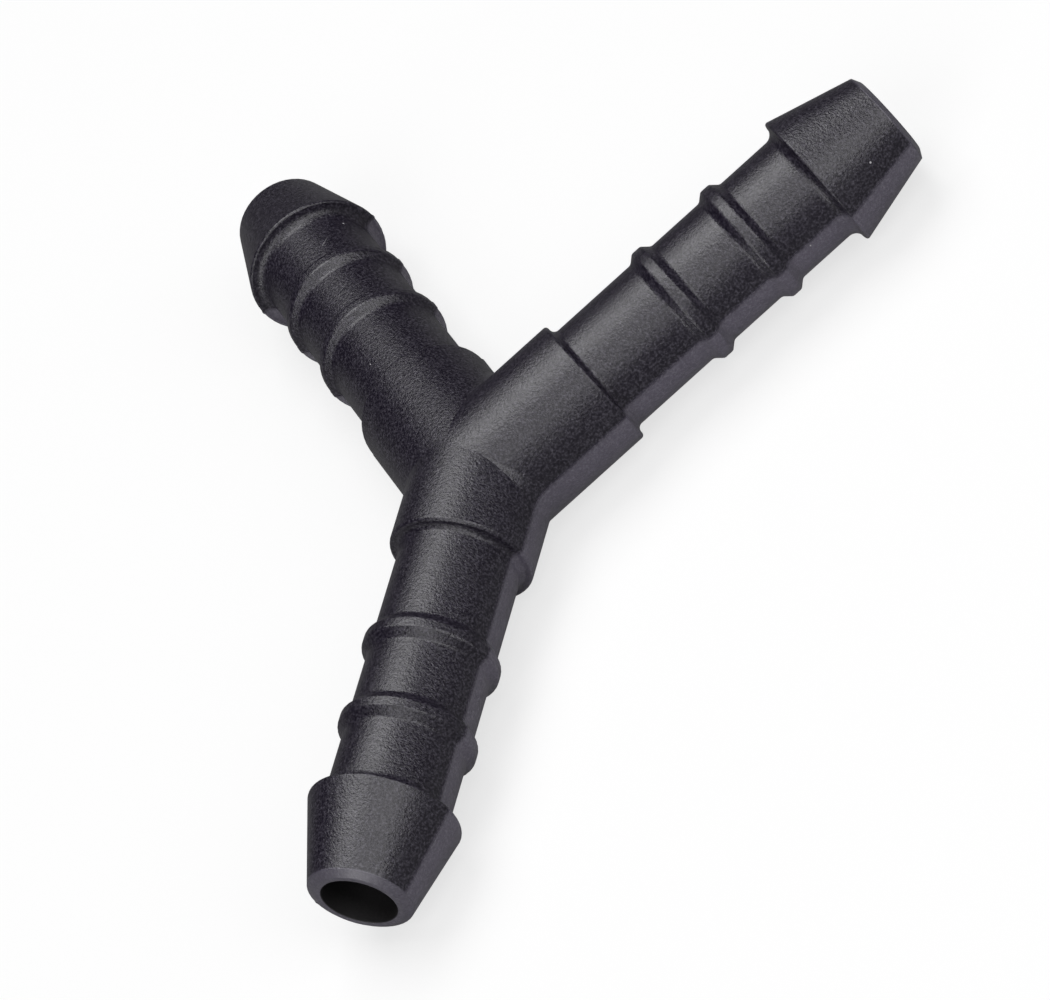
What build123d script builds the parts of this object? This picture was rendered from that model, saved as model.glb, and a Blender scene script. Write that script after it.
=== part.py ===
from build123d import *
from math import cos, radians, sin, sqrt, tan
import os

# Y connector for flexible tubing, moulded in one piece.
# The three arm axes meet at the origin and lie in the XY plane, which is also the
# parting plane of the mould. The stem arm points along -Y, the two branch arms lie
# either side of +Y. Millimetres and degrees.

# Layout of the arms
branch_angle = 88.4          # between the two branch arms
stem_hub_length = 6.26       # origin to the shoulder on the stem arm
branch_hub_length = 9.55     # origin to the shoulder on each branch arm
hub_radius = 4.73
crotch_radius = 2.5          # rounding between two hubs at the parting plane

# Nozzle, the same on every arm, lengths counted from the shoulder
nozzle_length = 25.35
stem_radius = 4.0
first_rib_position = 7.5
rib_spacing = 5.9
rib_height = 0.48
rib_crest_width = 0.7
rib_foot_width = 1.8
barb_position = 18.97        # rear face of the barb
barb_radius = 5.0
lip_radius = 3.42            # small end of the barb's cone
lip_length = 0.3             # from the lip on to the mouth
mouth_radius = 2.85          # outside of the flat ring round the bore

# Bore
bore_radius = 2.45
bore_edge_rounding = 0.08

# Edge roundings of the nozzle
shoulder_edge_rounding = 0.25
shoulder_foot_rounding = 0.4
rib_crest_rounding = 0.3
rib_foot_rounding = 0.4
barb_edge_rounding = 0.18
barb_foot_rounding = 0.72
lip_rounding = 0.08
mouth_rounding = 0.15

# Witness of the parting line, a fine ridge all round the outline
seam_height = 0.04
seam_width = 0.14

# Share of a step that the roundings at its foot and edge may fill
step_fill = 0.9

# Levels of the crotch blends as shares of the hub radius, and how steeply the
# blends shrink on the way from the parting plane to the top
blend_levels = (0, 0.25, 0.5, 0.7, 0.85)
blend_fade = 4
blend_sink = 0.015           # how deep the blends' rims lie in the hub walls

rib_positions = (first_rib_position, first_rib_position + rib_spacing)
arms = (
    (-90.0, stem_hub_length),
    (90.0 - branch_angle / 2, branch_hub_length),
    (90.0 + branch_angle / 2, branch_hub_length),
)
crotches = [
    (first, second if second > first else second + 360)
    for (first, _), (second, _) in zip(arms, arms[1:] + arms[:1])
]


def towards(angle):
    """Direction of an angle in the XY plane."""
    return Vector(cos(radians(angle)), sin(radians(angle)))


def arm_plane(angle):
    """Plane of the arm axes with local X running out along one arm."""
    return Plane(origin=(0, 0, 0), x_dir=towards(angle), z_dir=(0, 0, 1))


def on_step(height, *roundings):
    """Roundings of a step's foot and edge, made smaller where the step is too low."""
    room = min(1, step_fill * height / sum(roundings))
    return [room * rounding for rounding in roundings]


def corner_table(shoulder, raised):
    """Corners of half an arm outline with the rounding each one gets.

    shoulder is where the hub ends, raised lifts the whole outline off the axis.
    """
    barb = shoulder + barb_position
    tip = shoulder + nozzle_length
    stem = stem_radius + raised
    crest = stem + rib_height
    shoulder_edge, shoulder_foot = on_step(
        hub_radius - stem_radius, shoulder_edge_rounding, shoulder_foot_rounding)
    barb_edge, barb_foot = on_step(
        barb_radius - stem_radius, barb_edge_rounding, barb_foot_rounding)
    table = [
        (0, hub_radius + raised, 0),
        (shoulder, hub_radius + raised, shoulder_edge),
        (shoulder, stem, shoulder_foot),
    ]
    for position in rib_positions:
        rib = shoulder + position
        table += [
            (rib - rib_foot_width / 2, stem, rib_foot_rounding),
            (rib - rib_crest_width / 2, crest, rib_crest_rounding),
            (rib + rib_crest_width / 2, crest, rib_crest_rounding),
            (rib + rib_foot_width / 2, stem, rib_foot_rounding),
        ]
    table += [
        (barb, stem, barb_foot),
        (barb, barb_radius + raised, barb_edge),
        (tip - lip_length, lip_radius + raised, lip_rounding),
        (tip, mouth_radius + raised, mouth_rounding),
        (tip, 0, 0),
    ]
    return table


def half_outline(angle, shoulder, raised=0):
    """Rounded outline of one arm on one side of its axis, from the origin to the mouth."""
    corners = corner_table(shoulder, raised)
    with BuildSketch(arm_plane(angle), mode=Mode.PRIVATE) as outline:
        with BuildLine():
            Polyline((0, 0), *[(x, y) for x, y, _ in corners], close=True)
        make_face()
        for x, y, rounding in corners:
            if rounding:
                fillet(vertices().sort_by_distance((x, y, 0))[0], rounding)
    return outline.sketch


def blend_section(first, second, level):
    """Section at one level of the blend in the crotch between two arms.

    first and second are the arms' angles. The front is an arc that runs into both
    hub walls, and the rest of the section lies inside the hubs.
    """
    wall = sqrt(hub_radius**2 - level**2)
    radius = crotch_radius * (wall / hub_radius) ** blend_fade
    half = radians((second - first) / 2)
    depth = wall - blend_sink
    reach = (depth + radius) / tan(half)
    start = towards(first) * reach + towards(first + 90) * depth
    end = towards(second) * reach + towards(second - 90) * depth
    middle = towards((first + second) / 2) * ((depth + radius) / sin(half) - radius)
    with BuildSketch(Plane.XY.offset(level), mode=Mode.PRIVATE) as section:
        with BuildLine():
            Line((0, 0), start)
            ThreePointArc(start, middle, end)
            Line(end, (0, 0))
        make_face()
    return section.sketch


with BuildPart() as y_connector:
    for angle, shoulder in arms:
        revolve(half_outline(angle, shoulder), axis=Axis((0, 0, 0), towards(angle)))

    # Blends in the crotches, wide at the parting plane and fading towards the top
    shares = [-share for share in reversed(blend_levels[1:])] + list(blend_levels)
    for first, second in crotches:
        loft([blend_section(first, second, share * hub_radius) for share in shares])

    # The ridge follows the whole outline, rounded crotches included
    with BuildSketch() as seam_outline:
        for angle, shoulder in arms:
            half = half_outline(angle, shoulder, seam_height)
            add(half)
            mirror(half, about=Plane(origin=(0, 0, 0), z_dir=towards(angle + 90)))
        for first, second in crotches:
            reach = (hub_radius + seam_height) / sin(radians((second - first) / 2))
            crotch = towards((first + second) / 2) * reach
            fillet(vertices().sort_by_distance(crotch)[0], crotch_radius - seam_height)
    extrude(amount=seam_width / 2, both=True)

    # Bores, each with an eased edge at the mouth
    for angle, shoulder in arms:
        tip = shoulder + nozzle_length
        with BuildSketch(arm_plane(angle)) as bore:
            with BuildLine():
                Polyline(
                    (tip - bore_edge_rounding, bore_radius),
                    (0, bore_radius),
                    (0, 0),
                    (tip, 0),
                    (tip, bore_radius + bore_edge_rounding),
                )
                RadiusArc(
                    (tip, bore_radius + bore_edge_rounding),
                    (tip - bore_edge_rounding, bore_radius),
                    bore_edge_rounding,
                )
            make_face()
        revolve(axis=Axis((0, 0, 0), towards(angle)), mode=Mode.SUBTRACT)

os.makedirs("parts", exist_ok=True)
y_connector.part.label = "y_connector"
export_step(y_connector.part, "parts/y_connector.step")
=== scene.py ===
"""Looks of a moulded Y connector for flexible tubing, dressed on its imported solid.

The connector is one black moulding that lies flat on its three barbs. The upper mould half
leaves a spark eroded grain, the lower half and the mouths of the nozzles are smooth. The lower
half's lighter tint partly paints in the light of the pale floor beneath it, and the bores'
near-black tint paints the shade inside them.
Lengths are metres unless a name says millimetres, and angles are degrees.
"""

import logging
from dataclasses import dataclass
from enum import Enum
from math import cos, radians, sin
from typing import Union

import bpy
from mathutils import Euler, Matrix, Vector

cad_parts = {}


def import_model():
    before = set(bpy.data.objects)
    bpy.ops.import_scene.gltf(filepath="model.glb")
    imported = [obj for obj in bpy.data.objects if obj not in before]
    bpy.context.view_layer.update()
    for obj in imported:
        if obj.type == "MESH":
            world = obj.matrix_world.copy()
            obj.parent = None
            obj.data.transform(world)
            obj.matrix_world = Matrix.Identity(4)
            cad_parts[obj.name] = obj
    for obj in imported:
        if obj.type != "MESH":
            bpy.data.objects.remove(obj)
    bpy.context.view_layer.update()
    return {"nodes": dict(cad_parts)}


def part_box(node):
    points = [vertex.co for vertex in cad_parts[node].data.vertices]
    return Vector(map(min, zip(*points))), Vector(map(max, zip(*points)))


MM = 0.001
LOG = logging.getLogger("y_connector")

Colour = tuple[float, float, float]
Triple = tuple[float, float, float]
Term = Union["Signal", float]


class MouldFace(Enum):
    """The faces of the mould, each with its own finish on the plastic."""

    UPPER = "upper"
    LOWER = "lower"
    MOUTH = "mouth"
    BORE = "bore"


class Signal:
    """An output socket of a node tree that Python arithmetic can be written on."""

    def __init__(self, bench: "NodeBench", socket: bpy.types.NodeSocket) -> None:
        """Keeps the socket and the bench that adds nodes beside it."""
        self.bench = bench
        self.socket = socket

    def _math(self, operation: str, first: Term, second: Term) -> "Signal":
        """Adds one Math node.

        Args:
            operation: Blender's name of the operation.
            first: upper input of the node.
            second: lower input of the node.

        Returns:
            The value that the node gives.
        """
        return self.bench.node("ShaderNodeMath", {"operation": operation}, {0: first, 1: second})

    def __add__(self, other: Term) -> "Signal":
        """Sum with a number or a signal."""
        return self._math("ADD", self, other)

    def __radd__(self, other: Term) -> "Signal":
        """Sum that starts with a number."""
        return self._math("ADD", other, self)

    def __sub__(self, other: Term) -> "Signal":
        """Difference with a number or a signal."""
        return self._math("SUBTRACT", self, other)

    def __rsub__(self, other: Term) -> "Signal":
        """Difference that starts with a number."""
        return self._math("SUBTRACT", other, self)

    def __mul__(self, other: Term) -> "Signal":
        """Product with a number or a signal."""
        return self._math("MULTIPLY", self, other)

    def __rmul__(self, other: Term) -> "Signal":
        """Product that starts with a number."""
        return self._math("MULTIPLY", other, self)

    def larger(self, other: Term) -> "Signal":
        """Larger of the two values."""
        return self._math("MAXIMUM", self, other)


class NodeBench:
    """An empty node tree with the methods that fill it."""

    def __init__(self, owner: Union[bpy.types.Material, bpy.types.World]) -> None:
        """Clears the owner's node tree and keeps it.

        Args:
            owner: the material or world whose nodes are made.
        """
        owner.use_nodes = True
        self.tree = owner.node_tree
        self.tree.nodes.clear()

    def node(
        self,
        kind: str,
        settings: dict[str, object],
        inputs: dict[Union[int, str], object],
        output: Union[int, str] = 0,
    ) -> Signal:
        """Adds one node.

        Args:
            kind: type name of the node.
            settings: properties of the node, set before its inputs.
            inputs: value or signal of each input socket, by name or number.
            output: the output socket to hand back.

        Returns:
            The signal of the chosen output, or one without a socket when the node has none.
        """
        made = self.tree.nodes.new(kind)
        for name, value in settings.items():
            setattr(made, name, value)
        for name, value in inputs.items():
            socket = made.inputs[name]
            if isinstance(value, Signal):
                self.tree.links.new(value.socket, socket)
            else:
                socket.default_value = value
        return Signal(self, made.outputs[output] if made.outputs else None)

    def mix_colours(self, share: Term, first: object, second: object) -> Signal:
        """Blends two colours.

        Args:
            share: 0 gives the first colour, 1 the second.
            first: colour or signal.
            second: colour or signal.

        Returns:
            The blended colour.
        """
        settings = {"data_type": "RGBA", "blend_type": "MIX"}
        inputs = {"Factor": share, 6: first, 7: second}
        return self.node("ShaderNodeMix", settings, inputs, 2)

    def rise(self, value: Term, start: float, end: float) -> Signal:
        """Smooth step from 0 at start to 1 at end, which may run downwards.

        Args:
            value: the signal that is measured.
            start: value at which the step leaves 0.
            end: value at which the step reaches 1.

        Returns:
            The step, from 0 to 1.
        """
        settings = {"interpolation_type": "SMOOTHSTEP"}
        inputs = {"Value": value, "From Min": start, "From Max": end}
        return self.node("ShaderNodeMapRange", settings, inputs)

    def less(self, vector: Signal, other: Triple) -> Signal:
        """Vector minus another one."""
        return self.node("ShaderNodeVectorMath", {"operation": "SUBTRACT"}, {0: vector, 1: other})

    def scaled(self, vector: Signal, factor: float) -> Signal:
        """Vector times a number."""
        inputs = {0: vector, "Scale": factor}
        return self.node("ShaderNodeVectorMath", {"operation": "SCALE"}, inputs)

    def length(self, vector: Signal) -> Signal:
        """Length of a vector."""
        return self.node("ShaderNodeVectorMath", {"operation": "LENGTH"}, {0: vector}, "Value")

    def along(self, vector: Signal, heading: Vector) -> Signal:
        """How far a vector reaches along a heading of length 1."""
        inputs = {0: vector, 1: tuple(heading)}
        return self.node("ShaderNodeVectorMath", {"operation": "DOT_PRODUCT"}, inputs, "Value")

    def off_axis_squared(self, vector: Signal, along: Signal) -> Signal:
        """Square of a vector's distance from the axis that it reaches along."""
        length = self.length(vector)
        return length * length - along * along

    def light_path(self, ray: str) -> Signal:
        """1 for one kind of ray and 0 for the others."""
        return self.node("ShaderNodeLightPath", {}, {}, ray)


@dataclass(frozen=True)
class Skin:
    """Finish and tint of one face of the mould. The lower face's tint is partly painted floor
    light, and the bore face's tint is painted shade.

    Grain and flecks are strengths, and gloss is the weight of the smooth skin on top.
    """

    tint_and_painted_light: Colour
    roughness: float
    grain: float
    gloss: float
    flecks: float


@dataclass(frozen=True)
class Speck:
    """Pale dust speck or nick at one place, full within the core share of its radius."""

    place_mm: Triple
    radius_mm: float = 0.09
    core: float = 0.5


@dataclass(frozen=True)
class Scratch:
    """Fine straight scratch, given by its middle and half its run.

    It is full within the core share of its squared width, and its ends fade from the taper
    share of its squared reach.
    """

    middle_mm: Triple
    half_run_mm: Triple
    width_mm: float = 0.035
    strength: float = 0.4
    core: float = 0.2
    taper: float = 0.3


@dataclass(frozen=True)
class Arm:
    """One arm of the connector, which starts at the origin."""

    angle: float
    tip_mm: float

    @property
    def heading(self) -> Vector:
        """Direction in which the arm points."""
        return Vector((cos(radians(self.angle)), sin(radians(self.angle)), 0.0))


@dataclass(frozen=True)
class BlackCompound:
    """Black moulding compound with the finishes of the mould's faces, painted floor light on the
    lower face and painted shade in the bores.
    """

    skins: dict[MouldFace, Skin]
    specks: list[Speck]
    scratches: list[Scratch]
    pale: Colour = (0.140, 0.129, 0.163)
    scuffed: Colour = (0.42, 0.41, 0.43)
    refraction: float = 1.6
    skin_roughness: float = 0.42
    noise_middle: float = 0.5
    noise_roughness: float = 0.55
    cloud_size_mm: float = 2.6
    cloud_detail: float = 3.0
    cloud_strength: float = 0.16
    fleck_size_mm: float = 0.16
    fleck_detail: float = 3.0
    fleck_start: float = 0.38
    fleck_end: float = 0.80
    grain_size_mm: float = 0.11
    grain_detail: float = 2.0
    grain_height_mm: float = 0.034
    pit_size_mm: float = 0.24
    pit_softness: float = 0.6
    pit_weight: float = 0.5
    parting_blur_mm: float = 0.25
    mouth_blur_mm: float = 0.12
    bore_edge_mm: float = 0.04

    def material(
        self, arms: list[Arm], mouth_edge_mm: float, bore_radius_mm: float
    ) -> bpy.types.Material:
        """Builds the node material.

        Args:
            arms: the arms, whose mouths and bores have faces of their own.
            mouth_edge_mm: how far the mouth's smooth face reaches back from the tip.
            bore_radius_mm: radius of the bores.

        Returns:
            The material for the connector.
        """
        material = bpy.data.materials.new("black_moulding_compound")
        bench = NodeBench(material)
        place = bench.scaled(bench.node("ShaderNodeTexCoord", {}, {}, "Object"), 1 / MM)
        shares = {
            MouldFace.UPPER: self._upper_share(bench, place),
            MouldFace.MOUTH: self._mouth_share(bench, place, arms, mouth_edge_mm),
            MouldFace.BORE: self._bore_share(bench, place, arms, bore_radius_mm),
        }
        cloud = self._noise(bench, place, self.cloud_size_mm, self.cloud_detail)
        unevenness = (cloud - self.noise_middle) * self.cloud_strength
        grain = self._grain_height(bench, place) * self._by_face(shares, "grain")
        bump_inputs = {"Strength": 1.0, "Distance": self.grain_height_mm * MM, "Height": grain}
        shader_inputs = {
            "Base Color": self._colour_and_painted_light(bench, place, shares),
            "Roughness": self._by_face(shares, "roughness") + unevenness,
            "IOR": self.refraction,
            "Coat Weight": self._by_face(shares, "gloss"),
            "Coat Roughness": self.skin_roughness,
            "Normal": bench.node("ShaderNodeBump", {}, bump_inputs),
        }
        shader = bench.node("ShaderNodeBsdfPrincipled", {}, shader_inputs)
        bench.node("ShaderNodeOutputMaterial", {}, {"Surface": shader})
        return material

    def _by_face(self, shares: dict[MouldFace, Signal], quality: str) -> Signal:
        """Value of one quality of the skins, each on its own face.

        Args:
            shares: 1 on each face and 0 elsewhere, all but the lower one, innermost last.
            quality: name of the skin's field.

        Returns:
            The value over the whole surface.
        """
        value: Term = getattr(self.skins[MouldFace.LOWER], quality)
        for face, share in shares.items():
            value = value + share * (getattr(self.skins[face], quality) - value)
        return value

    def _colour_and_painted_light(
        self, bench: NodeBench, place: Signal, shares: dict[MouldFace, Signal]
    ) -> Signal:
        """Colour of the compound with its flecks, specks and scratches, painted floor light on
        the lower face and painted shade on the bore walls.

        Args:
            bench: where the nodes are added.
            place: position in millimetres.
            shares: 1 on each face and 0 elsewhere, all but the lower one, innermost last.

        Returns:
            The base colour.
        """
        # The lower face's lighter tint is partly painted floor light, and the bore face's
        # near-black tint is painted shade.
        tint_and_painted_light: object = (*self.skins[MouldFace.LOWER].tint_and_painted_light, 1.0)
        for face, share in shares.items():
            tint_and_painted_light = bench.mix_colours(share, tint_and_painted_light, (*self.skins[face].tint_and_painted_light, 1.0))
        noise = self._noise(bench, place, self.fleck_size_mm, self.fleck_detail)
        fleck = bench.rise(noise, self.fleck_start, self.fleck_end)
        tint_and_painted_light = bench.mix_colours(fleck * self._by_face(shares, "flecks"), tint_and_painted_light, (*self.pale, 1.0))
        return bench.mix_colours(self._scuff_share(bench, place), tint_and_painted_light, (*self.scuffed, 1.0))

    def _scuff_share(self, bench: NodeBench, place: Signal) -> Term:
        """Share of the pale specks and scratches.

        Args:
            bench: where the nodes are added.
            place: position in millimetres.

        Returns:
            Up to 1 on the specks and scratches, 0 elsewhere.
        """
        share: Term = 0.0
        for speck in self.specks:
            away = bench.length(bench.less(place, speck.place_mm))
            blot = bench.rise(away, speck.radius_mm, speck.core * speck.radius_mm)
            share = blot.larger(share)
        for scratch in self.scratches:
            share = (self._scratch_share(bench, place, scratch) * scratch.strength).larger(share)
        return share

    def _scratch_share(self, bench: NodeBench, place: Signal, scratch: Scratch) -> Signal:
        """Share of one scratch, which fades towards its ends.

        Args:
            bench: where the nodes are added.
            place: position in millimetres.
            scratch: the scratch.

        Returns:
            1 along the scratch, 0 elsewhere.
        """
        run = Vector(scratch.half_run_mm)
        offset = bench.less(place, scratch.middle_mm)
        along = bench.along(offset, run.normalized())
        across = bench.off_axis_squared(offset, along)
        width = scratch.width_mm**2
        reach = run.length_squared
        beside = bench.rise(across, width, scratch.core * width)
        return beside * bench.rise(along * along, reach, scratch.taper * reach)

    def _noise(self, bench: NodeBench, place: Signal, size_mm: float, detail: float) -> Signal:
        """Soft noise.

        Args:
            bench: where the nodes are added.
            place: position in millimetres.
            size_mm: rough size of its blots.
            detail: how many finer layers it has.

        Returns:
            The noise, from 0 to 1.
        """
        inputs = {
            "Vector": place,
            "Scale": 1 / size_mm,
            "Detail": detail,
            "Roughness": self.noise_roughness,
        }
        return bench.node("ShaderNodeTexNoise", {}, inputs)

    def _upper_share(self, bench: NodeBench, place: Signal) -> Signal:
        """1 on the upper mould half, 0 on the lower one."""
        height = bench.node("ShaderNodeSeparateXYZ", {}, {0: place}, "Z")
        return bench.rise(height, -self.parting_blur_mm, self.parting_blur_mm)

    def _mouth_share(
        self, bench: NodeBench, place: Signal, arms: list[Arm], edge_mm: float
    ) -> Signal:
        """Share of the smooth mouth faces.

        Args:
            bench: where the nodes are added.
            place: position in millimetres.
            arms: the arms of the connector.
            edge_mm: how far each face reaches back from the tip.

        Returns:
            1 on the mouths, 0 elsewhere.
        """
        share: Term = 0.0
        for arm in arms:
            start = arm.tip_mm - edge_mm
            along = bench.along(place, arm.heading)
            share = bench.rise(along, start - self.mouth_blur_mm, start).larger(share)
        return share

    def _bore_share(
        self, bench: NodeBench, place: Signal, arms: list[Arm], radius_mm: float
    ) -> Signal:
        """Share of the bore walls, whose near-black tint paints the shade inside the bores.

        Args:
            bench: where the nodes are added.
            place: position in millimetres.
            arms: the arms of the connector.
            radius_mm: radius of the bores.

        Returns:
            1 on the bore walls, 0 elsewhere.
        """
        edge = self.bore_edge_mm
        share: Term = 0.0
        for arm in arms:
            along = bench.along(place, arm.heading)
            across = bench.off_axis_squared(place, along)
            wall = bench.rise(across, (radius_mm + 2 * edge) ** 2, radius_mm**2)
            share = (wall * bench.rise(along, -edge, 0.0)).larger(share)
        return share

    def _grain_height(self, bench: NodeBench, place: Signal) -> Signal:
        """Height of the eroded grain, as fine noise over shallow pits.

        Args:
            bench: where the nodes are added.
            place: position in millimetres.

        Returns:
            The height, in shares of the grain's own.
        """
        fine = self._noise(bench, place, self.grain_size_mm, self.grain_detail)
        inputs = {"Vector": place, "Scale": 1 / self.pit_size_mm, "Smoothness": self.pit_softness}
        pits = bench.node("ShaderNodeTexVoronoi", {"feature": "SMOOTH_F1"}, inputs, "Distance")
        return fine + pits * self.pit_weight


@dataclass
class YConnector:
    """The moulding itself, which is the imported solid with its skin."""

    solid: bpy.types.Object
    finish: BlackCompound
    branch_angle: float = 88.4
    stem_tip_mm: float = 31.61
    branch_tip_mm: float = 34.9
    mouth_edge_mm: float = 0.32
    bore_radius_mm: float = 2.45

    def arms(self) -> list[Arm]:
        """Lists the arms.

        Returns:
            The stem arm and the two branch arms.
        """
        half = self.branch_angle / 2
        branches = [Arm(90 - half, self.branch_tip_mm), Arm(90 + half, self.branch_tip_mm)]
        return [Arm(-90.0, self.stem_tip_mm), *branches]

    def dress(self) -> None:
        """Gives the solid its material."""
        skin = self.finish.material(self.arms(), self.mouth_edge_mm, self.bore_radius_mm)
        self.solid.data.materials.clear()
        self.solid.data.materials.append(skin)


@dataclass
class SoftBox:
    """A rectangular soft light that faces the middle of the object."""

    name: str
    azimuth: float
    elevation: float
    distance: float
    width: float
    depth: float
    power: float

    def build(self) -> bpy.types.Object:
        """Adds the light.

        Returns:
            The light's object.
        """
        data = bpy.data.lights.new(self.name, "AREA")
        data.shape = "RECTANGLE"
        data.size = self.width
        data.size_y = self.depth
        data.energy = self.power
        light = bpy.data.objects.new(self.name, data)
        bpy.context.scene.collection.objects.link(light)
        level = cos(radians(self.elevation))
        towards = Vector((
            level * sin(radians(self.azimuth)),
            -level * cos(radians(self.azimuth)),
            sin(radians(self.elevation)),
        ))
        light.location = towards * self.distance
        light.rotation_euler = towards.to_track_quat("Z", "Y").to_euler()
        return light


@dataclass
class Studio:
    """Pale floor, soft lights and an even surround."""

    floor_height: float
    soft_boxes: list[SoftBox]
    floor_size: float = 3.0
    floor_thickness: float = 0.05
    card: Colour = (0.84, 0.84, 0.84)
    reflected_card: Colour = (0.13, 0.13, 0.13)
    glow: float = 0.7
    reflected_glow: float = 0.06
    surround: float = 0.01
    white: Colour = (1.0, 1.0, 1.0)

    def build(self) -> None:
        """Adds the floor, the world and the lights."""
        self._add_floor()
        self._set_world()
        for soft_box in self.soft_boxes:
            soft_box.build()

    def _add_floor(self) -> None:
        """Adds the floor, a wide slab whose top is what the connector lies on."""
        bpy.ops.object.select_all(action="DESELECT")
        bpy.ops.mesh.primitive_plane_add(size=self.floor_size, location=(0, 0, self.floor_height))
        floor = bpy.context.object
        floor.name = "floor"
        down = (0, 0, -self.floor_thickness)
        bpy.ops.object.mode_set(mode="EDIT")
        bpy.ops.mesh.extrude_region_move(TRANSFORM_OT_translate={"value": down})
        bpy.ops.mesh.select_all(action="SELECT")
        bpy.ops.mesh.normals_make_consistent(inside=False)
        bpy.ops.object.mode_set(mode="OBJECT")
        floor.data.transform(floor.matrix_world)
        floor.matrix_world.identity()
        floor.data.materials.append(self._floor_material())

    def _floor_material(self) -> bpy.types.Material:
        """Pale card whose glow keeps its shadow light, dimmer in reflections.

        Returns:
            The material for the floor.
        """
        material = bpy.data.materials.new("pale_card")
        bench = NodeBench(material)
        seen = bench.light_path("Is Camera Ray").larger(bench.light_path("Is Transmission Ray"))
        reflected = bench.light_path("Is Glossy Ray")
        colour = bench.mix_colours(reflected, (*self.card, 1.0), (*self.reflected_card, 1.0))
        card = bench.node("ShaderNodeBsdfDiffuse", {}, {"Color": colour})
        glow_inputs = {"Color": (*self.white, 1.0), "Strength": 1.0}
        glow = bench.node("ShaderNodeEmission", {}, glow_inputs)
        share = (seen * self.glow).larger(reflected * self.reflected_glow)
        mixed = bench.node("ShaderNodeMixShader", {}, {0: share, 1: card, 2: glow})
        bench.node("ShaderNodeOutputMaterial", {}, {"Surface": mixed})
        return material

    def _set_world(self) -> None:
        """Sets an even dim surround that the camera sees as white."""
        world = bpy.data.worlds.new("surround")
        bench = NodeBench(world)
        room = bench.node("ShaderNodeBackground", {}, {"Strength": self.surround})
        white_inputs = {"Color": (*self.white, 1.0), "Strength": 1.0}
        white = bench.node("ShaderNodeBackground", {}, white_inputs)
        seen = bench.light_path("Is Camera Ray")
        mixed = bench.node("ShaderNodeMixShader", {}, {0: seen, 1: room, 2: white})
        bench.node("ShaderNodeOutputWorld", {}, {"Surface": mixed})
        bpy.context.scene.world = world


@dataclass
class Viewpoint:
    """Where the camera stands, how it is turned and how long its lens is."""

    place_mm: Triple = (233.386, -210.917, 261.712)
    turn: Triple = (40.8265, 31.5883, 16.4815)
    lens_mm: float = 218.885
    sensor_mm: float = 36.0
    nearest: float = 0.01

    def build(self) -> None:
        """Adds the camera and makes it the scene's own."""
        data = bpy.data.cameras.new("camera")
        data.lens = self.lens_mm
        data.sensor_width = self.sensor_mm
        data.sensor_fit = "HORIZONTAL"
        data.clip_start = self.nearest
        camera = bpy.data.objects.new("camera", data)
        bpy.context.scene.collection.objects.link(camera)
        camera.location = Vector(self.place_mm) * MM
        camera.rotation_euler = Euler([radians(angle) for angle in self.turn], "XYZ")
        bpy.context.scene.camera = camera


def black_compound() -> BlackCompound:
    """Gives the compound its skins, specks and scratch. The lower skin's lighter tint is partly
    painted floor light, and the bore skin's near-black tint is painted shade.

    Returns:
        The finish of the connector.
    """
    skins = {
        MouldFace.UPPER: Skin(
            tint_and_painted_light=(0.0030, 0.0012, 0.0070), roughness=0.35, grain=1.0, gloss=0.0, flecks=0.39
        ),
        # Smooth glossy lower half, whose lighter tint also paints in the pale floor's light from
        # beneath.
        MouldFace.LOWER: Skin(
            tint_and_painted_light=(0.058, 0.049, 0.076), roughness=0.42, grain=1.1, gloss=1.0, flecks=0.8
        ),
        MouldFace.MOUTH: Skin(
            tint_and_painted_light=(0.046, 0.040, 0.060), roughness=0.42, grain=0.9, gloss=0.8, flecks=0.4
        ),
        # Bore walls, whose near-black tint is painted shade inside the bores.
        MouldFace.BORE: Skin(
            tint_and_painted_light=(0.004, 0.003, 0.004), roughness=0.70, grain=0.4, gloss=0.0, flecks=0.0
        ),
    }
    specks = [
        Speck((-16.64, 21.71, 2.39)),
        Speck((-9.01, 7.85, 3.87), radius_mm=0.06),
        Speck((24.94, 20.06, 1.43)),
        Speck((20.61, 15.48, -0.28), radius_mm=0.07),
    ]
    scratches = [Scratch((-16.54, 19.17, 3.68), half_run_mm=(0.02, -0.52, 0.15))]
    return BlackCompound(skins, specks, scratches)


def soft_boxes() -> list[SoftBox]:
    """Lists the lights.

    Returns:
        The soft boxes, with azimuth, elevation, distance, width, depth and power in that order.
    """
    return [
        SoftBox("overhead_softbox", -150.0, 73.0, 0.9, 0.68, 0.73, 6.6),
        SoftBox("right_softbox", 85.0, 43.5, 1.0, 0.54, 0.92, 4.9),
        SoftBox("front_softbox", 10.0, 40.0, 1.0, 0.70, 0.63, 3.5),
        SoftBox("low_front_light", -8.0, 4.0, 1.0, 0.28, 0.17, 2.0),
    ]


def main() -> None:
    """Builds the camera, the connector and the studio in order."""
    logging.basicConfig(level=logging.INFO, format="%(name)s: %(message)s")
    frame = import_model()
    bpy.context.scene.view_settings.view_transform = "Standard"

    Viewpoint().build()
    LOG.info("camera placed")

    connector = YConnector(frame["nodes"]["y_connector"], black_compound())
    connector.dress()
    LOG.info("connector dressed, %d arms", len(connector.arms()))

    lowest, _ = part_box("y_connector")
    studio = Studio(lowest.z, soft_boxes())
    studio.build()
    LOG.info("studio built, %d lights", len(studio.soft_boxes))


if __name__ == "__main__":
    main()
